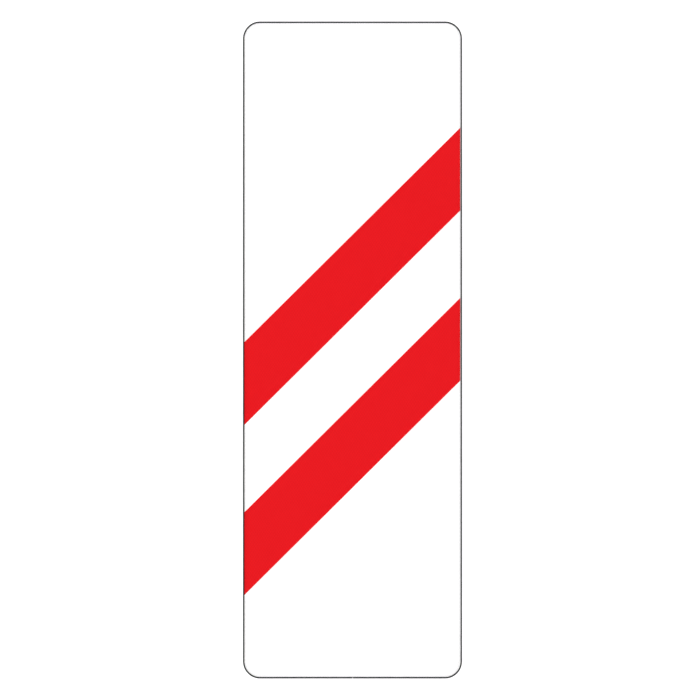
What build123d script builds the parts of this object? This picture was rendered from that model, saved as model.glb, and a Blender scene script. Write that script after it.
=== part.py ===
"""Level-crossing approach marker: a framed, reflective aluminium panel that two clamps hold on a round post.

Millimetres. +Z is up, the face looks along -Y and the back along +Y. The origin is on the post's
axis, halfway up the panel. Depths are worked out from the post forwards, so the clamps, the
rails, the frame and the face all follow the same few sizes.
"""

import os
from math import radians, sqrt, tan

from build123d import *

# --- Driving dimensions ---------------------------------------------------------------------------

# Panel outline
panel_width = 350.0
panel_height = 1050.0
corner_radius = 27.2

# Face: an aluminium plate, white reflective sheeting and two red overlay stripes
plate_thickness = 2.0
plate_edge_gap = 0.2
sheeting_thickness = 0.4
stripe_thickness = 0.15
stripe_angle = 44.8
stripe_height = 132.5
stripe_spacing = 272.0
pattern_drop = 17.9
stripe_reveal = 0.6

# Edge frame: one aluminium section bent round the plate, closed at the bottom by a joint plate
frame_wall = 1.2
lip_overlap = 1.0
lip_thickness = 1.2
ledge_width = 10.0
ledge_thickness = 1.5
flange_width = 15.0
flange_thickness = 1.5
frame_edge_round = 0.35
joint_gap = 0.5
joint_plate_length = 62.0
joint_plate_width = 12.0
joint_plate_thickness = 2.0
joint_rivet_pitch = 15.0
drain_spacing = 220.0
drain_length = 14.0
drain_width = 5.0

# Two C rails across the back, bonded to the plate and riveted to the frame
rail_spacing = 600.0
rail_width = 28.0
rail_depth = 15.0
rail_wall = 2.0
rail_slot = 12.0
rail_corner = 0.6
rail_end_gap = 0.5
tape_width = 20.0
tape_end_gap = 3.0

# Blind rivets
rivet_diameter = 3.2
rivet_hole_gap = 0.05
rivet_head_diameter = 6.4
rivet_head_height = 1.2
rivet_rim = 0.25
rivet_pin_diameter = 1.8
rivet_pin_recess = 0.4
rivet_bulb_diameter = 4.8
rivet_bulb_length = 3.0

# Post, and the two clamps on it
post_diameter = 76.1
post_gap = 0.1
clamp_width = 30.0
saddle_wall = 5.0
saddle_floor = 8.0
foot_thickness = 5.0
neck_rise = 3.0
strap_wall = 4.5
ear_thickness = 6.0
ear_gap = 6.0
ear_fillet = 3.0
edge_margin = 2.5
corner_fillet = 1.5
head_channel_depth = 4.0
head_channel_gap = 0.15

# M8 fasteners
bolt_diameter = 8.0
bolt_hole_gap = 0.5
bolt_end_chamfer = 0.8
thread_gap = 0.06
hex_width = 13.0
hex_head_height = 5.3
nut_height = 6.8
lock_nut_hex_height = 6.2
lock_nut_collar_height = 1.8
lock_nut_collar_diameter = 12.0
insert_diameter = 10.2
insert_thickness = 1.5
insert_gap = 0.05
washer_diameter = 16.0
washer_thickness = 1.6
washer_gap = 0.2
washer_chamfer = 0.3
strap_travel = 15.0
thread_reserve = 2.0
tee_head_length = 22.0
tee_head_width = 10.6
tee_head_height = 4.5
tee_head_round = 4.0
tee_thread_reserve = 3.0
spanner_room = 3.0

# Identification label on the back of the plate
label_width = 90.0
label_height = 55.0
label_thickness = 0.1
label_corner = 3.0
label_drop = 120.0

# --- Sizes that follow ----------------------------------------------------------------------------

seat_radius = post_diameter / 2 + post_gap
saddle_radius = seat_radius + saddle_wall
strap_radius = seat_radius + strap_wall

rail_back = -(seat_radius + saddle_floor)
rail_front = rail_back - rail_depth
plate_back = rail_front - ledge_thickness
plate_front = plate_back - plate_thickness
sheeting_front = plate_front - sheeting_thickness
frame_front = sheeting_front - lip_thickness
frame_back = rail_back + flange_thickness

rail_heights = {"upper": rail_spacing / 2, "lower": -rail_spacing / 2}
rail_length = panel_width - 2 * (frame_wall + rail_end_gap)
flange_middle = frame_wall + flange_width / 2
rail_rivet_x = panel_width / 2 - flange_middle
rail_rivet_z = (rail_slot / 2 + rail_width / 2 - rail_wall) / 2

hex_corner = hex_width / sqrt(3)
washer_radius = washer_diameter / 2
bolt_hole = bolt_diameter / 2 + bolt_hole_gap
foot_back = rail_back + foot_thickness
tee_nut_front = foot_back + washer_thickness
tee_nut_back = tee_nut_front + nut_height
tee_head_back = rail_back - rail_wall
tee_bolt_end = tee_nut_back + tee_thread_reserve
tee_bolt_x = sqrt(saddle_radius**2 - tee_nut_back**2) + hex_corner + spanner_room
foot_width = 2 * (tee_bolt_x + washer_radius + edge_margin)
neck_width = 2 * sqrt(saddle_radius**2 - (foot_back + neck_rise) ** 2)

ear_face = ear_gap / 2
ear_back = ear_face + ear_thickness
ear_bolt_x = saddle_radius + washer_radius + edge_margin
ear_end = ear_bolt_x + washer_radius + edge_margin
strap_nut_front = ear_back + washer_thickness
strap_nut_back = strap_nut_front + lock_nut_hex_height + lock_nut_collar_height
strap_bolt_end = strap_nut_back + strap_travel + thread_reserve

two_sides = {"left": -1, "right": 1}


def facing(y):
    """A plane parallel to the panel at that depth, its normal towards the traffic."""
    return Plane.XZ.offset(-y)


def outline(inset, mode=Mode.ADD):
    """The panel's outline, that far inside its edge."""
    width, height = panel_width - 2 * inset, panel_height - 2 * inset
    return RectangleRounded(width, height, corner_radius - inset, mode=mode)


def save(part, name):
    part.label = name
    export_step(part, f"parts/{name}.step")


def save_at(piece, point, name):
    """Writes a copy of the piece, moved to that point."""
    with BuildPart() as copy:
        with Locations(point):
            add(piece)
    save(copy.part, name)


def save_row(piece, points, name):
    """Writes a copy of the piece at each point, numbered from 1."""
    for number, point in enumerate(points, 1):
        save_at(piece, point, f"{name}_{number}")


# --- Face -----------------------------------------------------------------------------------------


def make_layer(name, back, thickness):
    """A full-size layer of the face: the plate or its sheeting."""
    with BuildPart() as layer:
        with BuildSketch(facing(back)):
            outline(frame_wall + plate_edge_gap)
        extrude(amount=thickness)
    save(layer.part, name)


def make_stripe(name, middle):
    """A band that rises to the right, trimmed to the frame's front lip."""
    lip = frame_wall + lip_overlap
    slope = tan(radians(stripe_angle))
    left, right = -panel_width / 2 + lip, panel_width / 2 - lip - stripe_reveal
    low, high = middle - stripe_height / 2, middle + stripe_height / 2
    with BuildPart() as stripe:
        with BuildSketch(facing(sheeting_front)):
            with BuildLine():
                Polyline(
                    (left, low + left * slope),
                    (right, low + right * slope),
                    (right, high + right * slope),
                    (left, high + left * slope),
                    close=True,
                )
            make_face()
        extrude(amount=stripe_thickness)
    save(stripe.part, name)


def make_label():
    with BuildPart() as label:
        with BuildSketch(facing(plate_back + label_thickness)):
            with Locations((0, -label_drop)):
                RectangleRounded(label_width, label_height, label_corner)
        extrude(amount=label_thickness)
    save(label.part, "rear_label")


# --- Edge frame -----------------------------------------------------------------------------------


def joint_rivet_points():
    height = -panel_height / 2 + flange_middle
    return [(step * joint_rivet_pitch, height) for step in (-1.5, -0.5, 0.5, 1.5)]


def rail_rivet_points(height):
    return [(x, height + z) for x in (-rail_rivet_x, rail_rivet_x) for z in (-rail_rivet_z, rail_rivet_z)]


def at_depth(points, y):
    return [(x, y, z) for x, z in points]


def drill(points, back, thickness, radius):
    """Cuts a round hole at each point, from that depth forwards."""
    with BuildSketch(facing(back)) as holes:
        with Locations(*points):
            Circle(radius)
    extrude(holes.sketch, amount=thickness, mode=Mode.SUBTRACT)


def make_edge_frame():
    """A closed ring: outer wall, front lip, ledge behind the plate and rear flange."""
    depth = frame_back - frame_front
    with BuildPart() as frame:
        for back, thickness, reach in (
            (frame_back, depth, frame_wall),
            (sheeting_front, lip_thickness, frame_wall + lip_overlap),
            (rail_front, ledge_thickness, frame_wall + ledge_width),
            (frame_back, flange_thickness, frame_wall + flange_width),
        ):
            with BuildSketch(facing(back)):
                outline(0)
                outline(reach, mode=Mode.SUBTRACT)
            extrude(amount=thickness)
        ends = frame.faces().filter_by(Axis.Y).sort_by(Axis.Y)
        fillet(ends[0].outer_wire().edges() + ends[-1].outer_wire().edges(), frame_edge_round)

        with Locations((0, (frame_front + frame_back) / 2, -panel_height / 2)):
            Box(joint_gap, 2 * depth, 4 * flange_width, mode=Mode.SUBTRACT)
        with BuildSketch(Plane.XY.offset(-panel_height / 2)):
            with Locations((0, (rail_front + rail_back) / 2)):
                with GridLocations(drain_spacing, 0, 2, 1):
                    SlotOverall(drain_length, drain_width)
        extrude(amount=frame_wall, mode=Mode.SUBTRACT)

        rivets = joint_rivet_points()
        for height in rail_heights.values():
            rivets += rail_rivet_points(height)
        drill(rivets, frame_back, flange_thickness, rivet_diameter / 2 + rivet_hole_gap)
    save(frame.part, "edge_frame")


def make_joint_plate():
    """The strip that bridges the frame's butt joint, against the front of the rear flange."""
    with BuildPart() as plate:
        with BuildSketch(facing(rail_back)):
            with Locations((0, -panel_height / 2 + flange_middle)):
                RectangleRounded(joint_plate_length, joint_plate_width, corner_fillet)
        extrude(amount=joint_plate_thickness)
        drill(joint_rivet_points(), rail_back, joint_plate_thickness, rivet_diameter / 2 + rivet_hole_gap)
    save(plate.part, "frame_joint_plate")


def blind_rivet(grip):
    """A set blind rivet along Y: its domed head stands on y = 0, the shank runs forwards through the grip."""
    head, shank = rivet_head_diameter / 2, rivet_diameter / 2
    pin, bulb = rivet_pin_diameter / 2, rivet_bulb_diameter / 2
    with BuildPart() as rivet:
        with BuildSketch(Plane.XY):
            with BuildLine():
                Polyline(
                    (0, rivet_head_height - rivet_pin_recess),
                    (pin, rivet_head_height - rivet_pin_recess),
                    (pin, rivet_head_height),
                )
                TangentArc((pin, rivet_head_height), (head, rivet_rim), tangent=(1, 0))
                Polyline((head, rivet_rim), (head, 0), (shank, 0), (shank, -grip), (bulb, -grip))
                TangentArc((bulb, -grip), (shank, -grip - rivet_bulb_length), tangent=(0, -1))
                Polyline(
                    (shank, -grip - rivet_bulb_length),
                    (0, -grip - rivet_bulb_length),
                    (0, rivet_head_height - rivet_pin_recess),
                )
            make_face()
        revolve(axis=Axis.Y)
    return rivet.part


# --- Rails ----------------------------------------------------------------------------------------


def make_rail(name, height):
    """A C rail along X whose slot opens backwards."""
    with BuildPart() as rail:
        with BuildSketch(Plane.YZ):
            with Locations(((rail_front + rail_back) / 2, height)):
                RectangleRounded(rail_depth, rail_width, rail_corner)
                inner_depth, inner_width = rail_depth - 2 * rail_wall, rail_width - 2 * rail_wall
                RectangleRounded(inner_depth, inner_width, rail_corner, mode=Mode.SUBTRACT)
            with Locations((rail_back, height)):
                Rectangle(3 * rail_wall, rail_slot, mode=Mode.SUBTRACT)
        extrude(amount=rail_length / 2, both=True)
        drill(rail_rivet_points(height), rail_back, rail_wall, rivet_diameter / 2 + rivet_hole_gap)
    save(rail.part, name)


def make_bond_tape(name, height):
    """The foam tape that fills the ledge's thickness between plate and rail."""
    length = panel_width - 2 * (frame_wall + ledge_width + tape_end_gap)
    with BuildPart() as tape:
        with BuildSketch(facing(rail_front)):
            with Locations((0, height)):
                Rectangle(length, tape_width)
        extrude(amount=ledge_thickness)
    save(tape.part, name)


# --- Clamps ---------------------------------------------------------------------------------------


def is_ear_root(vertex, depth):
    """Whether this corner is where an ear's outer face meets the round wall."""
    return abs(abs(vertex.Y) - depth) < 0.01 and seat_radius < abs(vertex.X) < saddle_radius


def make_saddle(name, height):
    """The front half of a clamp: a foot on the rail, a neck, a half ring and two ears.

    Each ear's front is channelled, so that a bolt head slides in and can't turn."""
    ear_front = -ear_back - head_channel_depth
    head_room = hex_width / 2 + head_channel_gap
    with BuildPart() as saddle:
        with BuildSketch(Plane.XY.offset(height - clamp_width / 2)) as section:
            Circle(saddle_radius)
            Rectangle(2 * ear_end, 2 * ear_end, align=(Align.CENTER, Align.MIN), mode=Mode.SUBTRACT)
            with Locations((0, -ear_back)):
                Rectangle(2 * ear_end, ear_thickness, align=(Align.CENTER, Align.MIN))
            with Locations((0, ear_front)):
                with GridLocations(2 * ear_bolt_x, 0, 2, 1):
                    ear_width = 2 * (ear_end - ear_bolt_x)
                    Rectangle(ear_width, head_channel_depth, align=(Align.CENTER, Align.MIN))
                    Rectangle(
                        2 * head_room, head_channel_depth, align=(Align.CENTER, Align.MIN), mode=Mode.SUBTRACT
                    )
            with Locations((0, -ear_face)):
                Rectangle(2 * ear_end, ear_gap, align=(Align.CENTER, Align.MIN), mode=Mode.SUBTRACT)
            with Locations((0, rail_back)):
                Rectangle(neck_width, saddle_floor, align=(Align.CENTER, Align.MIN))
                Rectangle(foot_width, foot_thickness, align=(Align.CENTER, Align.MIN))
            Circle(seat_radius, mode=Mode.SUBTRACT)
            necks = [v for v in section.vertices() if abs(abs(v.X) - neck_width / 2) < 0.01]
            ends = [v for v in section.vertices() if abs(abs(v.X) - foot_width / 2) < 0.01]
            tips = [v for v in section.vertices() if abs(abs(v.X) - ear_end) < 0.01]
            fillet(necks + ends + tips, corner_fillet)
        extrude(amount=clamp_width)
        drill([(-tee_bolt_x, height), (tee_bolt_x, height)], foot_back, foot_thickness, bolt_hole)
        drill([(-ear_bolt_x, height), (ear_bolt_x, height)], -ear_face, ear_thickness, bolt_hole)
    save(saddle.part, name)


def make_strap(name, height):
    """The rear half of a clamp: a half ring with two flat ears."""
    with BuildPart() as strap:
        with BuildSketch(Plane.XY.offset(height - clamp_width / 2)) as section:
            Circle(strap_radius)
            with Locations((0, ear_face)):
                Rectangle(2 * ear_end, ear_thickness, align=(Align.CENTER, Align.MIN))
                Rectangle(2 * ear_end, 2 * ear_end, align=(Align.CENTER, Align.MAX), mode=Mode.SUBTRACT)
            Circle(seat_radius, mode=Mode.SUBTRACT)
            roots = [v for v in section.vertices() if is_ear_root(v, ear_back)]
            fillet(roots, ear_fillet)
            tips = [v for v in section.vertices() if abs(abs(v.X) - ear_end) < 0.01]
            fillet(tips, corner_fillet)
        extrude(amount=clamp_width)
        drill([(-ear_bolt_x, height), (ear_bolt_x, height)], ear_back, ear_thickness, bolt_hole)
    save(strap.part, name)


# --- Fasteners, each along Y ----------------------------------------------------------------------


def hex_blank(front, height, turn):
    """A hexagon with both rims turned down to a cone, from that depth backwards."""
    drop = (hex_corner - hex_width / 2) * tan(radians(30))
    with BuildPart() as blank:
        with BuildSketch(facing(front)):
            Circle(hex_corner)
        extrude(amount=-height)
        chamfer(blank.edges().filter_by(GeomType.CIRCLE), drop, hex_corner - hex_width / 2)
        with BuildSketch(facing(front)):
            RegularPolygon(hex_width / 2, 6, major_radius=False, rotation=turn)
        extrude(amount=-height, mode=Mode.INTERSECT)
    return blank.part


def shank(front, back):
    """A plain M8 shank with its free end chamfered."""
    with BuildPart() as body:
        with BuildSketch(facing(front)):
            Circle(bolt_diameter / 2)
        extrude(amount=front - back)
        chamfer(body.faces().sort_by(Axis.Y)[-1].edges(), bolt_end_chamfer)
    return body.part


def strap_bolt():
    """A hex bolt whose head sits in the saddle's channel, two flats against its walls."""
    with BuildPart() as bolt:
        add(hex_blank(-ear_back - hex_head_height, hex_head_height, 30))
        add(shank(-ear_back, strap_bolt_end))
    return bolt.part


def tee_bolt():
    """A hammer-head bolt; two opposite corners of its head are round, so it turns in the slot."""
    with BuildPart() as bolt:
        with BuildSketch(facing(tee_head_back)) as head:
            Rectangle(tee_head_width, tee_head_length)
            corners = head.vertices().sort_by(Axis((0, 0, 0), (1, 1, 0)))
            fillet([corners[0], corners[-1]], tee_head_round)
        extrude(amount=tee_head_height)
        add(shank(tee_head_back, tee_bolt_end))
    return bolt.part


def washer(front):
    with BuildPart() as ring:
        with BuildSketch(facing(front)):
            Circle(washer_radius)
            Circle(bolt_diameter / 2 + washer_gap, mode=Mode.SUBTRACT)
        extrude(amount=-washer_thickness)
        chamfer(ring.faces().sort_by(Axis.Y)[-1].outer_wire().edges(), washer_chamfer)
    return ring.part


def plain_nut():
    with BuildPart() as nut:
        add(hex_blank(tee_nut_front, nut_height, 0))
        drill([(0, 0)], tee_nut_back, nut_height, bolt_diameter / 2 + thread_gap)
    return nut.part


def lock_nut():
    """A nut with a round collar that holds a nylon ring."""
    collar_front = strap_nut_front + lock_nut_hex_height
    with BuildPart() as nut:
        add(hex_blank(strap_nut_front, lock_nut_hex_height, 0))
        with BuildSketch(facing(collar_front)):
            Circle(lock_nut_collar_diameter / 2)
        extrude(amount=-lock_nut_collar_height)
        chamfer(nut.faces().sort_by(Axis.Y)[-1].edges(), washer_chamfer)
        drill([(0, 0)], strap_nut_back, strap_nut_back - strap_nut_front, bolt_diameter / 2 + thread_gap)
        drill([(0, 0)], strap_nut_back, insert_thickness + insert_gap, insert_diameter / 2 + insert_gap)
    return nut.part


def nut_insert():
    """The nylon ring in a lock nut."""
    with BuildPart() as ring:
        with BuildSketch(facing(strap_nut_back - insert_gap)):
            Circle(insert_diameter / 2)
            Circle(bolt_diameter / 2 + thread_gap, mode=Mode.SUBTRACT)
        extrude(amount=insert_thickness)
    return ring.part


def make_clamp(place, height):
    """Both halves of one clamp with everything that fastens them."""
    make_saddle(f"{place}_clamp_saddle", height)
    make_strap(f"{place}_clamp_strap", height)

    for side, sign in two_sides.items():
        rail_side, post_side = (sign * tee_bolt_x, 0, height), (sign * ear_bolt_x, 0, height)
        for piece, point, kind in (
            (tee_bolt(), rail_side, "tee_bolt"),
            (washer(foot_back), rail_side, "tee_washer"),
            (plain_nut(), rail_side, "tee_nut"),
            (strap_bolt(), post_side, "strap_bolt"),
            (washer(ear_back), post_side, "strap_washer"),
            (lock_nut(), post_side, "lock_nut"),
            (nut_insert(), post_side, "nut_insert"),
        ):
            save_at(piece, point, f"{place}_{side}_{kind}")


# --- The whole marker -----------------------------------------------------------------------------


def main():
    os.makedirs("parts", exist_ok=True)
    make_layer("sign_plate", plate_back, plate_thickness)
    make_layer("white_sheeting", plate_front, sheeting_thickness)
    make_stripe("upper_stripe", stripe_spacing / 2 - pattern_drop)
    make_stripe("lower_stripe", -stripe_spacing / 2 - pattern_drop)
    make_label()

    make_edge_frame()
    make_joint_plate()
    joint_rivet = blind_rivet(flange_thickness + joint_plate_thickness)
    save_row(joint_rivet, at_depth(joint_rivet_points(), frame_back), "frame_joint_rivet")

    rail_rivet = blind_rivet(flange_thickness + rail_wall)
    for place, height in rail_heights.items():
        make_rail(f"{place}_rail", height)
        make_bond_tape(f"{place}_bond_tape", height)
        save_row(rail_rivet, at_depth(rail_rivet_points(height), frame_back), f"{place}_rail_rivet")
        make_clamp(place, height)


main()
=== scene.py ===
import math

import bpy
import numpy as np
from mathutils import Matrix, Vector


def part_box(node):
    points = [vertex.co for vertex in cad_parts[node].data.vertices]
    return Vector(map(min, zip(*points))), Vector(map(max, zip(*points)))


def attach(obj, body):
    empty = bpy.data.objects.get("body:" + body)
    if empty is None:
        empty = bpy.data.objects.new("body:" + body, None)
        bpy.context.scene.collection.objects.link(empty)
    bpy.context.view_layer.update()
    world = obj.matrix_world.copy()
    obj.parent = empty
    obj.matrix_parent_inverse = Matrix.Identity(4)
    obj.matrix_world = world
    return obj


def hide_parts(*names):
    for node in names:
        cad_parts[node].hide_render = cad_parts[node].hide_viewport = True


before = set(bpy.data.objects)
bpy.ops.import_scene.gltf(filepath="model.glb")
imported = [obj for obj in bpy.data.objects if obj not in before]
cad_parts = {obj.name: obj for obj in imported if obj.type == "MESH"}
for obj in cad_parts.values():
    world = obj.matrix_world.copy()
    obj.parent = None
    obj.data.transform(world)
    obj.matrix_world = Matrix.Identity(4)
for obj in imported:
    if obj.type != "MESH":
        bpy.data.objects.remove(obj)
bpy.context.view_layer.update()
mm = 0.001
print("frame loaded:", len(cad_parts), "nodes")


def addPiece(name, points, faces, sharpAngle, marks=None):
    # turns the faces over if the signed volume they enclose is negative, so that they point outwards; marks
    # give the material of each face
    points = np.asarray(points, float)
    fan = np.array([(face[0], face[i], face[i + 1]) for face in faces for i in range(1, len(face) - 1)])
    a, b, c = points[fan[:, 0]], points[fan[:, 1]], points[fan[:, 2]]
    if np.einsum("ij,ij->i", a, np.cross(b, c)).sum() < 0:
        faces = [tuple(reversed(face)) for face in faces]
    mesh = bpy.data.meshes.new(name)
    mesh.from_pydata(points, [], faces)
    if marks is not None:
        mesh.polygons.foreach_set("material_index", np.asarray(marks, np.int32))
    softenBySlope(mesh, sharpAngle)
    piece = bpy.data.objects.new(name, mesh)
    bpy.context.scene.collection.objects.link(piece)
    return piece


def softenBySlope(mesh, sharpAngle):
    # shades every face smooth, and keeps an edge sharp where its two faces differ by more than the angle
    mesh.polygons.foreach_set("use_smooth", np.ones(len(mesh.polygons), bool))
    mesh.set_sharp_from_angle(angle=math.radians(sharpAngle))
    mesh.update()


def bridgeLoops(rows, columns, start=0):
    # quads between neighbouring closed loops, and one face on each end loop
    row, column = np.meshgrid(np.arange(rows - 1), np.arange(columns), indexing="ij")
    ahead = (column + 1) % columns
    here, above = start + row * columns, start + (row + 1) * columns
    quads = np.stack([here + column, here + ahead, above + ahead, above + column], axis=-1).reshape(-1, 4)
    firstLoop = tuple(range(start + columns - 1, start - 1, -1))
    lastLoop = tuple(range(start + (rows - 1) * columns, start + rows * columns))
    return [tuple(quad) for quad in quads.tolist()] + [firstLoop, lastLoop]


def joinShells(shells):
    # several closed stacks of loops as one list of points and faces; each shell is rows x columns x 3
    points, faces, start = [], [], 0
    for shell in shells:
        rows, columns = shell.shape[:2]
        points.append(shell.reshape(-1, 3))
        faces += bridgeLoops(rows, columns, start)
        start += rows * columns
    return np.concatenate(points), faces


def roundCorners(corners, radii, steps):
    # each corner becomes an arc: its centre is on the corner's bisector at radius / sin(half angle), and it
    # turns from one tangent point to the other
    corners, rounded = np.asarray(corners, float), []
    for corner, before, after, radius in zip(corners, np.roll(corners, 1, 0), np.roll(corners, -1, 0), radii):
        if not radius:
            rounded.append(corner[None])
            continue
        back, ahead = before - corner, after - corner
        back, ahead = back / np.linalg.norm(back), ahead / np.linalg.norm(ahead)
        half = math.acos(np.clip(back @ ahead, -1, 1)) / 2
        middle = (back + ahead) / np.linalg.norm(back + ahead)
        centre = corner + middle * radius / math.sin(half)
        tangent, arc = radius / math.tan(half), math.pi - 2 * half
        first, last = corner + back * tangent - centre, corner + ahead * tangent - centre
        turn = np.linspace(0, 1, steps + 1)[:, None]
        between = first * np.sin((1 - turn) * arc) + last * np.sin(turn * arc)
        rounded.append(centre + between / math.sin(arc))
    return np.concatenate(rounded)


def turned(radius, depth, angle):
    # turned about Y: x is radius times the sine of the angle, z is radius times its cosine
    depth = np.broadcast_to(depth, np.broadcast_shapes(radius.shape, angle.shape))
    return np.stack([radius * np.sin(angle), depth, radius * np.cos(angle)], axis=-1)


def across(node):
    # the middle of a node's box, with no depth
    low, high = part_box(node)
    return np.array(((low.x + high.x) / 2, 0, (low.z + high.z) / 2))


# edge frame: its section carried once round the outline, from one side of the butt joint to the other

edgeFrame = {
    "cornerRadius": 27.2 * mm,
    "wall": 1.2 * mm,
    "lipReach": 2.2 * mm,
    "ledgeReach": 11.2 * mm,
    "flangeReach": 16.2 * mm,
    "outerRound": 0.35 * mm,
    "edgeBreak": 0.12 * mm,
    "jointGap": 0.5 * mm,
    "drainSpacing": 220 * mm,
    "drainLength": 14 * mm,
    "drainWidth": 5 * mm,
    "drainCut": 3 * mm,  # the cutter reaches this far above and below the wall's outer face
    "drainSteps": 48,
    "cornerSteps": 24,
    "roundSteps": 4,
    "sharpAngle": 5,
}


def frameSection():
    # (reach inwards from the outer face, depth) round the section
    low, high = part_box("edge_frame")
    sheetFront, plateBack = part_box("white_sheeting")[0].y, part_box("sign_plate")[1].y
    railFront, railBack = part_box("upper_rail")[0].y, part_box("upper_rail")[1].y
    s = edgeFrame
    corners = [
        (0, low.y), (s["lipReach"], low.y), (s["lipReach"], sheetFront), (s["wall"], sheetFront),
        (s["wall"], plateBack), (s["ledgeReach"], plateBack),
        (s["ledgeReach"], railFront), (s["wall"], railFront),
        (s["wall"], railBack), (s["flangeReach"], railBack), (s["flangeReach"], high.y), (0, high.y),
    ]
    radii = [s["outerRound"], s["edgeBreak"], 0, 0, 0, s["edgeBreak"], s["edgeBreak"], 0,
             0, s["edgeBreak"], s["edgeBreak"], s["outerRound"]]
    return roundCorners(corners, radii, s["roundSteps"])


def frameOutline():
    # points on the outer face and their outward normals: straight runs joined by quarter circles
    low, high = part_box("edge_frame")
    radius, gap = edgeFrame["cornerRadius"], edgeFrame["jointGap"] / 2
    turn = np.linspace(0, math.pi / 2, edgeFrame["cornerSteps"] + 1)
    points, normals = [(gap, low.z)], [(0, -1)]
    corners = ((high.x, low.z), (high.x, high.z), (low.x, high.z), (low.x, low.z))
    for quarter, (x, z) in enumerate(corners):
        angle = turn + (quarter - 1) * math.pi / 2
        normal = np.stack([np.cos(angle), np.sin(angle)], axis=-1)
        centre = np.array([x - math.copysign(radius, x), z - math.copysign(radius, z)])
        points += (centre + radius * normal).tolist()
        normals += normal.tolist()
    return np.array(points + [(-gap, low.z)]), np.array(normals + [(0, -1)])


def slotCutter(x, y, z):
    # a drain slot's own outline, two half circles, carried up through the wall; the tiny slack keeps the
    # ends of the first half circle on its own side
    length, width, reach = edgeFrame["drainLength"], edgeFrame["drainWidth"], edgeFrame["drainCut"]
    angle = np.linspace(-math.pi / 2, math.pi * 1.5, edgeFrame["drainSteps"], endpoint=False)
    along = np.where(np.cos(angle) >= -1e-9, 1, -1) * (length - width) / 2
    outline = np.stack([x + along + np.cos(angle) * width / 2, y + np.sin(angle) * width / 2], axis=-1)
    loops = [np.column_stack([outline, np.full(len(outline), height)]) for height in (z - reach, z + reach)]
    return addPiece("drainCutter", *joinShells([np.stack(loops)]), edgeFrame["sharpAngle"])


def makeEdgeFrame():
    # each point of the section stands at its own depth, and its reach inwards from the outer face against
    # the outline's normal; two drain slots are then cut through the bottom run
    section, (outline, normals) = frameSection(), frameOutline()
    ring = outline[:, None] - normals[:, None] * section[None, :, :1]
    depth = np.broadcast_to(section[None, :, 1], ring.shape[:2])
    shell = np.stack([ring[..., 0], depth, ring[..., 1]], axis=-1)
    piece = addPiece("edgeFrameSection", *joinShells([shell]), edgeFrame["sharpAngle"])
    bottom, (railLow, railHigh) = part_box("edge_frame")[0].z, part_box("upper_rail")
    middle = (railLow.y + railHigh.y) / 2
    cutters = [slotCutter(side * edgeFrame["drainSpacing"] / 2, middle, bottom) for side in (-1, 1)]
    for cutter in cutters:
        cut = piece.modifiers.new("drain", "BOOLEAN")
        cut.operation, cut.solver, cut.object = "DIFFERENCE", "EXACT", cutter
    finished = bpy.data.meshes.new_from_object(piece.evaluated_get(bpy.context.evaluated_depsgraph_get()))
    piece.modifiers.clear()
    piece.data = finished
    softenBySlope(finished, edgeFrame["sharpAngle"])
    for cutter in cutters:
        bpy.data.objects.remove(cutter)
    return piece


# blind rivets: one profile turned about Y

rivet = {
    "headRadius": 3.2 * mm,
    "headHeight": 1.2 * mm,
    "rim": 0.25 * mm,
    "shankRadius": 1.6 * mm,
    "pinRadius": 0.9 * mm,
    "pinRecess": 0.4 * mm,
    "stubHeight": 0.12 * mm,
    "stubShares": (0.55, 0.9),  # the broken stub's top and foot, as shares of the pin's radius
    "boreInset": 0.1 * mm,  # a face this far down the bore, and a tenth of it off the wall, is the pin's
    "bulbRadius": 2.4 * mm,
    "bulbLength": 3.0 * mm,
    "grip": 3.5 * mm,
    "domeSteps": 8,
    "bulbSteps": 6,
    "columns": 40,
    "sharpAngle": 35,
}


def rivetProfile():
    # radius and depth: the dome is an arc that is level at the pin and comes down to the rim; the bulb is a
    # quarter ellipse; the pin has snapped off to a small raised stub
    r = rivet
    rise, reach = r["headHeight"] - r["rim"], r["headRadius"] - r["pinRadius"]
    arcRadius = (reach**2 + rise**2) / (2 * rise)
    swing = np.linspace(0, math.asin(reach / arcRadius), r["domeSteps"] + 1)
    dome = np.column_stack([r["pinRadius"] + arcRadius * np.sin(swing),
                            r["headHeight"] - arcRadius * (1 - np.cos(swing))])
    fade = np.linspace(0, math.pi / 2, r["bulbSteps"] + 1)
    bulb = np.column_stack([r["shankRadius"] + (r["bulbRadius"] - r["shankRadius"]) * np.cos(fade),
                            -r["grip"] - r["bulbLength"] * np.sin(fade)])
    pinTop, (tipShare, footShare) = r["headHeight"] - r["pinRecess"], r["stubShares"]
    pin = [(r["pinRadius"] * tipShare, pinTop + r["stubHeight"]), (r["pinRadius"] * footShare, pinTop),
           (r["pinRadius"], pinTop)]
    below = [(r["headRadius"], 0), (r["shankRadius"], 0), (r["shankRadius"], -r["grip"])]
    return np.concatenate([pin, dome, below, bulb])


def makeRivet(name, node):
    # the head stands on the flange; faces whose middle lies on the pin's end take the second material
    profile = rivetProfile()
    angle = np.linspace(0, 2 * math.pi, rivet["columns"], endpoint=False)[None]
    points, faces = joinShells([turned(profile[:, :1], profile[:, 1:], angle)])
    middles = np.array([points[list(face)].mean(0) for face in faces])
    depth, radius = middles[:, 1], np.hypot(middles[:, 0], middles[:, 2])
    inset = rivet["boreInset"]
    pinEnd = (depth > 0) & (depth < rivet["headHeight"] - inset) & (radius < rivet["pinRadius"] - inset / 10)
    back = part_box("edge_frame")[1].y
    return addPiece(name, points + across(node) + (0, back, 0), faces, rivet["sharpAngle"], pinEnd)


# M8 bolts: each a stack of loops along Y whose radius depends on angle and depth

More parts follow.
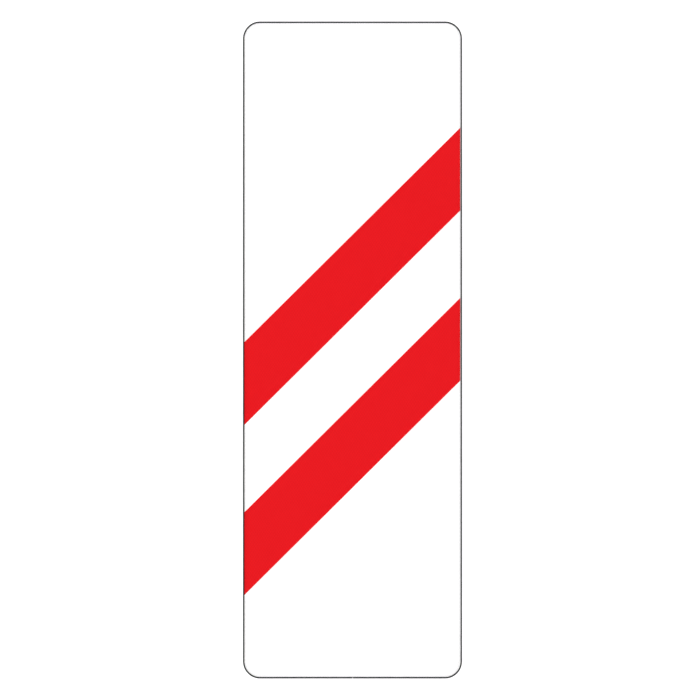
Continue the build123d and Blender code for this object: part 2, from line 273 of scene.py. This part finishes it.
bolt = {
    "radius": 3.99 * mm,
    "pitch": 1.25 * mm,
    "threadDepth": 0.72 * mm,
    "rootFlat": 0.25,  # shares of the pitch
    "crestFlat": 0.125,
    "hexWidth": 13.0 * mm,
    "headHeight": 5.3 * mm,
    "chamferAngle": 30,
    "chamferFoot": 0.985,  # the head's end face, as a share of the hexagon's half width
    "chamferSteps": 6,
    "underHead": 1.6 * mm,
    "endChamfer": 0.8 * mm,
    "rowsPerTurn": 12,
    "columns": 48,
    "sharpAngle": 32,
}
boltAngles = np.linspace(0, 2 * math.pi, bolt["columns"], endpoint=False)[None]


def threadRadius(angle, depth, start, finish):
    # right-hand thread: the phase is depth / pitch - angle / full turn, and its flanks run between a flat
    # root and a flat crest; the far end is a 45 degree cone
    phase = np.mod(depth / bolt["pitch"] - angle / (2 * math.pi), 1)
    flankWidth = 1 - bolt["rootFlat"] - bolt["crestFlat"]
    flank = np.clip((np.abs(phase - 0.5) * 2 - bolt["rootFlat"]) / flankWidth, 0, 1)
    runIn = np.clip((depth - start) / bolt["pitch"], 0, 1)
    groove = bolt["threadDepth"] * (1 - flank) * runIn
    cone = bolt["radius"] - np.clip(depth - (finish - bolt["endChamfer"]), 0, None)
    return np.minimum(bolt["radius"] - groove, cone)


def shankShell(start, finish):
    # even rows from the head to the end, enough to each turn for the thread to show, plain under the head
    rows = int((finish - start) / bolt["pitch"] * bolt["rowsPerTurn"]) + 1
    depth = np.linspace(start, finish, rows)[:, None]
    return turned(threadRadius(boltAngles, depth, start + bolt["underHead"], finish), depth, boltAngles)


def hexRadius(angle, turn):
    # distance to the side of a hexagon: half its width over the cosine of the angle from the side's middle
    return bolt["hexWidth"] / 2 / np.cos(np.mod(angle - turn, math.pi / 3) - math.pi / 6)


def hexHeadShell(start, finish):
    # the smaller of the hexagon and a cone at either rim
    corner, flat = bolt["hexWidth"] / math.sqrt(3), bolt["hexWidth"] / 2
    slope = math.tan(math.radians(bolt["chamferAngle"]))
    rim = np.linspace(0, (corner - flat) * slope, bolt["chamferSteps"] + 1)
    depth = np.concatenate([start + rim, finish - rim[::-1]])[:, None]
    cone = flat * bolt["chamferFoot"] + np.minimum(depth - start, finish - depth) / slope
    return turned(np.minimum(hexRadius(boltAngles, math.pi / 3), cone), depth, boltAngles)


def makeStrapBolt(name, node):
    # a hexagon head, then the shank to the far end of the node's box
    low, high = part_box(node)
    neck = low.y + bolt["headHeight"]
    points, faces = joinShells([hexHeadShell(low.y, neck), shankShell(neck, high.y)])
    return addPiece(name, points + across(node), faces, bolt["sharpAngle"])


hammerHead = {
    "width": 10.6 * mm,
    "length": 22.0 * mm,
    "height": 4.5 * mm,
    "round": 4.0 * mm,
    "sharpCorner": 0.4 * mm,
    "edgeBreak": 0.3 * mm,
    "roundSteps": 8,
}


def hammerHeadShell(start, finish):
    # the head's outline, two opposite corners round, with a broken edge at front and back
    edge, radii = hammerHead["edgeBreak"], [hammerHead["round"], hammerHead["sharpCorner"]] * 2
    loops = []
    for depth, inset in ((start, edge), (start + edge, 0), (finish - edge, 0), (finish, edge)):
        w, h = hammerHead["width"] / 2 - inset, hammerHead["length"] / 2 - inset
        outline = roundCorners([(-w, -h), (-w, h), (w, h), (w, -h)], radii, hammerHead["roundSteps"])
        loops.append(np.column_stack([outline[:, 0], np.full(len(outline), depth), outline[:, 1]]))
    return np.stack(loops)


def makeTeeBolt(name, node):
    # a hammer head, then the shank to the far end of the node's box
    low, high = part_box(node)
    neck = low.y + hammerHead["height"]
    points, faces = joinShells([hammerHeadShell(low.y, neck), shankShell(neck, high.y)])
    return addPiece(name, points + across(node), faces, bolt["sharpAngle"])


def linearColour(code):
    # sRGB hex to linear: a straight line near black, a power of 2.4 above it
    value = np.array([int(code[i:i + 2], 16) for i in (1, 3, 5)]) / 255
    return (*np.where(value <= 0.04045, value / 12.92, ((value + 0.055) / 1.055) ** 2.4), 1.0)


def newMaterial(name, colour, values):
    # one colour and the given values on the shader's own sockets, for patterns to be linked over
    material = bpy.data.materials.new(name)
    material.use_nodes = True
    shader = material.node_tree.nodes["Principled BSDF"]
    shader.inputs["Base Color"].default_value = linearColour(colour)
    for key, value in values.items():
        shader.inputs[key].default_value = value
    return material, shader


def addNode(material, kind, settings={}, inputs={}, onTo=None):
    # an input is a value, or a (node, output) pair that feeds it; onTo is the (output, node, input) it feeds
    tree = material.node_tree
    node = tree.nodes.new(kind)
    for key, value in settings.items():
        setattr(node, key, value)
    for key, value in inputs.items():
        if isinstance(value, tuple) and isinstance(value[0], bpy.types.Node):
            tree.links.new(value[0].outputs[value[1]], node.inputs[key])
        else:
            node.inputs[key].default_value = value
    if onTo:
        tree.links.new(node.outputs[onTo[0]], onTo[1].inputs[onTo[2]])
    return node


def tintAndBump(material, shader, pattern, colours, relief):
    # the pattern runs from the first colour to the second, and stands up by the relief, or down if negative
    dark, light = (linearColour(code) for code in colours)
    addNode(material, "ShaderNodeMix", {"data_type": "RGBA"}, {0: (pattern, 0), 6: dark, 7: light},
            (2, shader, "Base Color"))
    addNode(material, "ShaderNodeBump", {"invert": relief < 0},
            {"Height": (pattern, 0), "Distance": abs(relief)}, (0, shader, "Normal"))


sheeting = {
    "white": ("#FEFEFE", "#F4F4F4"),  # the face's colour and its seal lines
    "red": ("#E30A15", "#DA0812"),
    "values": {"Roughness": 0.35, "Specular IOR Level": 0.1},
    "cellSize": 3.6 * mm,  # the clear film is sealed round small diamonds
    "cellTurn": 33,
    "lineFade": (0.10, 0.03),  # shares of a cell between which a seal line comes up
    "sealDepth": -0.03 * mm,
}


def prismaticSheeting(name, colours):
    # a smooth clear film over tiny prisms: soft gloss, with faint seal lines that only show close by; they
    # are where the distance across either of two crossed sets of cells, folded at half a cell, is small
    material, shader = newMaterial(name, colours[0], sheeting["values"])
    place = addNode(material, "ShaderNodeTexCoord")
    low, high = sheeting["lineFade"]
    sets = []
    for turn in (sheeting["cellTurn"], -sheeting["cellTurn"]):
        askew = addNode(material, "ShaderNodeMapping", {},
                        {"Vector": (place, "Object"), "Rotation": (0, math.radians(turn), 0)})
        axes = addNode(material, "ShaderNodeSeparateXYZ", {}, {"Vector": (askew, 0)})
        cells = addNode(material, "ShaderNodeMath", {"operation": "DIVIDE"},
                        {0: (axes, "X"), 1: sheeting["cellSize"]})
        fold = addNode(material, "ShaderNodeMath", {"operation": "PINGPONG"}, {0: (cells, 0), 1: 0.5})
        sets.append(addNode(material, "ShaderNodeMapRange", {"interpolation_type": "SMOOTHSTEP"},
                            {"Value": (fold, 0), "From Min": low, "From Max": high}))
    lines = addNode(material, "ShaderNodeMath", {"operation": "MAXIMUM"}, {0: (sets[0], 0), 1: (sets[1], 0)})
    tintAndBump(material, shader, lines, colours, sheeting["sealDepth"])
    return material


powder = {
    "colours": ("#020203", "#07070A"),
    "values": {"Roughness": 0.42, "Specular IOR Level": 0.2},
    "peelWidth": 1.4 * mm,
    "peelHeight": 0.05 * mm,
}


def blackPowderCoat():
    # baked polyester powder: deep black, a shade greyer on the crests of the fine orange peel that breaks
    # its gloss up
    material, shader = newMaterial("blackPowderCoatOnAluminium", powder["colours"][0], powder["values"])
    place = addNode(material, "ShaderNodeTexCoord")
    peel = addNode(material, "ShaderNodeTexNoise", {},
                   {"Vector": (place, "Object"), "Scale": 1 / powder["peelWidth"], "Detail": 2.0})
    tintAndBump(material, shader, peel, powder["colours"], powder["peelHeight"])
    return material


metals = {  # along is the axis of the streaks: 0 for X, 1 for Y, 2 for Z
    "plate": {"name": "rolledAluminiumSheet", "colours": ("#AEB0B3", "#C3C5C7"), "roughness": 0.40,
              "streakLength": 120 * mm, "streakWidth": 1.2 * mm, "along": 2},
    "railMetal": {"name": "extrudedAluminiumRail", "colours": ("#A6A8AB", "#BFC1C3"), "roughness": 0.36,
                  "streakLength": 90 * mm, "streakWidth": 0.7 * mm, "along": 0},
    "clampMetal": {"name": "extrudedAluminiumClamp", "colours": ("#9FA1A4", "#BABCBE"), "roughness": 0.38,
                   "streakLength": 40 * mm, "streakWidth": 0.6 * mm, "along": 2},
    "rivetMetal": {"name": "formedAluminiumRivet", "colours": ("#B2B4B6", "#C8C9CB"), "roughness": 0.30,
                   "streakLength": 3 * mm, "streakWidth": 1 * mm, "along": 1},
    "pinMetal": {"name": "brokenSteelPin", "colours": ("#55565A", "#77777A"), "roughness": 0.50,
                 "streakLength": 0.3 * mm, "streakWidth": 0.3 * mm, "along": 1},
}
marking = {
    "cloudSize": 60 * mm,  # the slow mottle that handling leaves on bare aluminium
    "cloudShare": 0.35,
    "span": (0.3, 0.7),  # the pattern's darkest and lightest
    "gloss": (-0.06, 0.08),  # what they add to the roughness
    "relief": 0.01 * mm,
}


def drawnMetal(metal):
    # bare metal marked along the way it was rolled or pressed: long thin streaks that stretch the
    # reflections, mixed with a slow mottle, and duller where they are lighter
    material, shader = newMaterial(metal["name"], metal["colours"][1],
                                   {"Roughness": metal["roughness"], "Metallic": 1.0})
    place = addNode(material, "ShaderNodeTexCoord")
    scale = [1 / metal["streakWidth"]] * 3
    scale[metal["along"]] = 1 / metal["streakLength"]
    drawn = addNode(material, "ShaderNodeMapping", {}, {"Vector": (place, "Object"), "Scale": scale})
    streaks = addNode(material, "ShaderNodeTexNoise", {}, {"Vector": (drawn, 0), "Scale": 1.0, "Detail": 4.0})
    cloud = addNode(material, "ShaderNodeTexNoise", {},
                    {"Vector": (place, "Object"), "Scale": 1 / marking["cloudSize"], "Detail": 3.0})
    both = addNode(material, "ShaderNodeMix", {},
                   {"Factor": marking["cloudShare"], "A": (streaks, 0), "B": (cloud, 0)})
    (low, high), (shinier, duller) = marking["span"], marking["gloss"]
    addNode(material, "ShaderNodeMapRange", {},
            {"Value": (both, 0), "From Min": low, "From Max": high,
             "To Min": metal["roughness"] + shinier, "To Max": metal["roughness"] + duller},
            (0, shader, "Roughness"))
    tintAndBump(material, shader, both, metal["colours"], marking["relief"])
    return material


patterned = {  # one pattern each: what it is, its size, the two colours and the relief
    "fastener": {  # cold-formed A2 stainless: smooth, a little warm, with faint tumbling marks
        "name": "coldFormedStainlessSteel", "pattern": "ShaderNodeTexNoise", "size": 0.8 * mm,
        "colours": ("#B4B2AE", "#D3D1CD"), "relief": 0.008 * mm,
        "values": {"Roughness": 0.24, "Metallic": 1.0}},
    "foamTape": {  # closed-cell acrylic foam cut at the edge: dull dark grey with tiny cells
        "name": "acrylicFoamTape", "pattern": "ShaderNodeTexVoronoi", "size": 0.6 * mm,
        "colours": ("#2A2B2D", "#38393B"), "relief": 0.05 * mm,
        "values": {"Roughness": 0.85}},
    "nylon": {  # natural nylon: waxy, slightly see-through white, cloudy where the melt cooled last
        "name": "mouldedNylon", "pattern": "ShaderNodeTexNoise", "size": 2.5 * mm,
        "colours": ("#DFE2E6", "#F1F2F4"), "relief": 0.01 * mm,
        "values": {"Roughness": 0.45, "Subsurface Weight": 0.2, "Subsurface Scale": 0.5 * mm}},
}


def patternedFinish(look):
    # one noise or cell pattern, about one feature to its size, sets both the tint and the relief
    material, shader = newMaterial(look["name"], look["colours"][1], look["values"])
    place = addNode(material, "ShaderNodeTexCoord")
    pattern = addNode(material, look["pattern"], {},
                      {"Vector": (place, "Object"), "Scale": 1 / look["size"], "Detail": 2.0})
    tintAndBump(material, shader, pattern, look["colours"], look["relief"])
    return material


label = {
    "foil": "#C9CBCE",
    "ink": "#26282B",
    "values": {"Roughness": 0.38, "Metallic": 0.55},
    "borderInset": 3.2 * mm,
    "borderHalf": 0.35 * mm,
}


def foilLabel():
    # matt silver polyester with a printed border line and no text; the line is where the distance to the
    # nearest edge is about the inset
    material, shader = newMaterial("mattSilverFoilLabel", label["foil"], label["values"])
    low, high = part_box("rear_label")
    place = addNode(material, "ShaderNodeTexCoord")
    axes = addNode(material, "ShaderNodeSeparateXYZ", {}, {"Vector": (place, "Object")})
    insides = []
    for axis, start, end in (("X", low.x, high.x), ("Z", low.z, high.z)):
        offset = addNode(material, "ShaderNodeMath", {"operation": "SUBTRACT"},
                         {0: (axes, axis), 1: (start + end) / 2})
        away = addNode(material, "ShaderNodeMath", {"operation": "ABSOLUTE"}, {0: (offset, 0)})
        insides.append(addNode(material, "ShaderNodeMath", {"operation": "SUBTRACT"},
                               {0: (end - start) / 2, 1: (away, 0)}))
    nearest = addNode(material, "ShaderNodeMath", {"operation": "MINIMUM"},
                      {0: (insides[0], 0), 1: (insides[1], 0)})
    line = addNode(material, "ShaderNodeMath", {"operation": "COMPARE"},
                   {0: (nearest, 0), 1: label["borderInset"], 2: label["borderHalf"]})
    addNode(material, "ShaderNodeMix", {"data_type": "RGBA"},
            {0: (line, 0), 6: linearColour(label["foil"]), 7: linearColour(label["ink"])},
            (2, shader, "Base Color"))
    return material


print("materials")
finishes = {
    "whiteSheeting": prismaticSheeting("whitePrismaticSheeting", sheeting["white"]),
    "redSheeting": prismaticSheeting("redFilmOverPrismaticSheeting", sheeting["red"]),
    "powderCoat": blackPowderCoat(),
    "label": foilLabel(),
}
finishes.update({finish: drawnMetal(metal) for finish, metal in metals.items()})
finishes.update({finish: patternedFinish(look) for finish, look in patterned.items()})

nodeFinish = {
    "sign_plate": "plate",
    "white_sheeting": "whiteSheeting",
    "upper_stripe": "redSheeting",
    "lower_stripe": "redSheeting",
    "rear_label": "label",
    "frame_joint_plate": "railMetal",
}
for level in ("upper", "lower"):
    nodeFinish.update({
        f"{level}_rail": "railMetal",
        f"{level}_bond_tape": "foamTape",
        f"{level}_clamp_saddle": "clampMetal",
        f"{level}_clamp_strap": "clampMetal",
    })
    for side in ("left", "right"):
        for kind in ("tee_washer", "tee_nut", "strap_washer", "lock_nut"):
            nodeFinish[f"{level}_{side}_{kind}"] = "fastener"
        nodeFinish[f"{level}_{side}_nut_insert"] = "nylon"
for node, finish in nodeFinish.items():
    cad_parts[node].data.materials.clear()
    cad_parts[node].data.materials.append(finishes[finish])


def pieceName(node):
    # upper_left_tee_bolt becomes upperLeftTeeBolt
    first, *rest = node.split("_")
    return first + "".join(word.capitalize() for word in rest)


def settle(piece, node, body, slotName, *finishNames):
    # the piece stands for its node and moves with the node's body
    for finish in finishNames:
        piece.data.materials.append(finishes[finish])
    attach(piece, body)
    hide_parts(node)


print("edge frame")
settle(makeEdgeFrame(), "edge_frame", "panel", "frame", "powderCoat")

print("rivets")
for row in ("frame_joint", "upper_rail", "lower_rail"):
    for number in range(1, 5):
        node = f"{row}_rivet_{number}"
        settle(makeRivet(pieceName(node), node), node, "panel", "rivet", "rivetMetal", "pinMetal")

print("bolts")
for level in ("upper", "lower"):
    for side in ("left", "right"):
        for make, kind in ((makeStrapBolt, "strap_bolt"), (makeTeeBolt, "tee_bolt")):
            node = f"{level}_{side}_{kind}"
            settle(make(pieceName(node), node), node, f"{level}_clamp", "fastener", "fastener")


# studio: a round white cove, one soft key from the front left and softer fills

studio = {
    "floorHeight": -0.78,
    "floorRadius": 5.0,
    "coveRadius": 3.0,
    "wallHeight": 6.0,
    "centreHole": 0.02,
    "bendSteps": 24,
    "columns": 96,
    "sharpAngle": 40,
    "coveColour": "#F6F6F6",
    "coveGlow": 0.32,
    "skyStrength": 0.48,
    "cameraLens": 100.0,
    "sensorWidth": 36.0,
    "framedWidth": 1.1187,
    "cameraAside": -0.004,
}
lights = {  # place, width and power; each looks at the origin
    "keyFrontLeft": ((-2.6, -3.2, 2.4), 2.2, 20),
    "fillFrontRight": ((2.8, -2.8, 0.6), 2.4, 9.2),
    "backLeft": ((-2.2, 3.0, 2.2), 1.6, 18.4),
    "backRight": ((2.6, 2.4, 0.8), 1.8, 7.9),
}


def makeCove():
    # radius and height along the profile: flat floor, quarter circle, upright wall; turned about Z
    turn = np.linspace(0, math.pi / 2, studio["bendSteps"] + 1)
    floor = studio["floorHeight"]
    bend = np.column_stack([studio["floorRadius"] + studio["coveRadius"] * np.sin(turn),
                            floor + studio["coveRadius"] * (1 - np.cos(turn))])
    profile = np.concatenate([[(studio["centreHole"], floor)], bend, [(bend[-1, 0], studio["wallHeight"])]])
    angle = np.linspace(0, 2 * math.pi, studio["columns"], endpoint=False)
    shell = np.stack([profile[:, :1] * np.cos(angle), profile[:, :1] * np.sin(angle),
                      np.repeat(profile[:, 1:], len(angle), axis=1)], axis=-1)
    mesh = bpy.data.meshes.new("studioCove")
    mesh.from_pydata(shell.reshape(-1, 3), [], bridgeLoops(len(profile), len(angle))[:-1])  # open at the top
    softenBySlope(mesh, studio["sharpAngle"])
    cove = bpy.data.objects.new("studioCove", mesh)
    bpy.context.scene.collection.objects.link(cove)
    # plain matt white paint, lit a little from within so that it stays even
    mesh.materials.append(newMaterial("mattWhiteCovePaint", studio["coveColour"], {
        "Roughness": 0.9, "Specular IOR Level": 0.0,
        "Emission Color": (1, 1, 1, 1), "Emission Strength": studio["coveGlow"]})[0])


def addSoftLight(name, place, size, power):
    # a round area light whose -Z axis points from its place to the origin
    light = bpy.data.lights.new(name, "AREA")
    light.shape, light.size, light.energy = "DISK", size, power
    lamp = bpy.data.objects.new(name, light)
    lamp.location = place
    lamp.rotation_euler = (-Vector(place)).to_track_quat("-Z", "Y").to_euler()
    bpy.context.scene.collection.objects.link(lamp)


print("studio")
makeCove()
for name, (place, size, power) in lights.items():
    addSoftLight(name, place, size, power)

world = bpy.data.worlds.new("studioSky")
bpy.context.scene.world = world
world.use_nodes = True
world.node_tree.nodes["Background"].inputs["Color"].default_value = (1, 1, 1, 1)
world.node_tree.nodes["Background"].inputs["Strength"].default_value = studio["skyStrength"]

camera = bpy.data.objects.new("camera", bpy.data.cameras.new("camera"))
bpy.context.scene.collection.objects.link(camera)
camera.data.lens, camera.data.sensor_width = studio["cameraLens"], studio["sensorWidth"]
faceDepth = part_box("edge_frame")[0].y
distance = studio["framedWidth"] * studio["cameraLens"] / studio["sensorWidth"]
camera.location = (studio["cameraAside"], faceDepth - distance, 0)
camera.rotation_euler = (math.pi / 2, 0, 0)
bpy.context.scene.camera = camera
bpy.context.scene.view_settings.view_transform = "Standard"

print("finished")
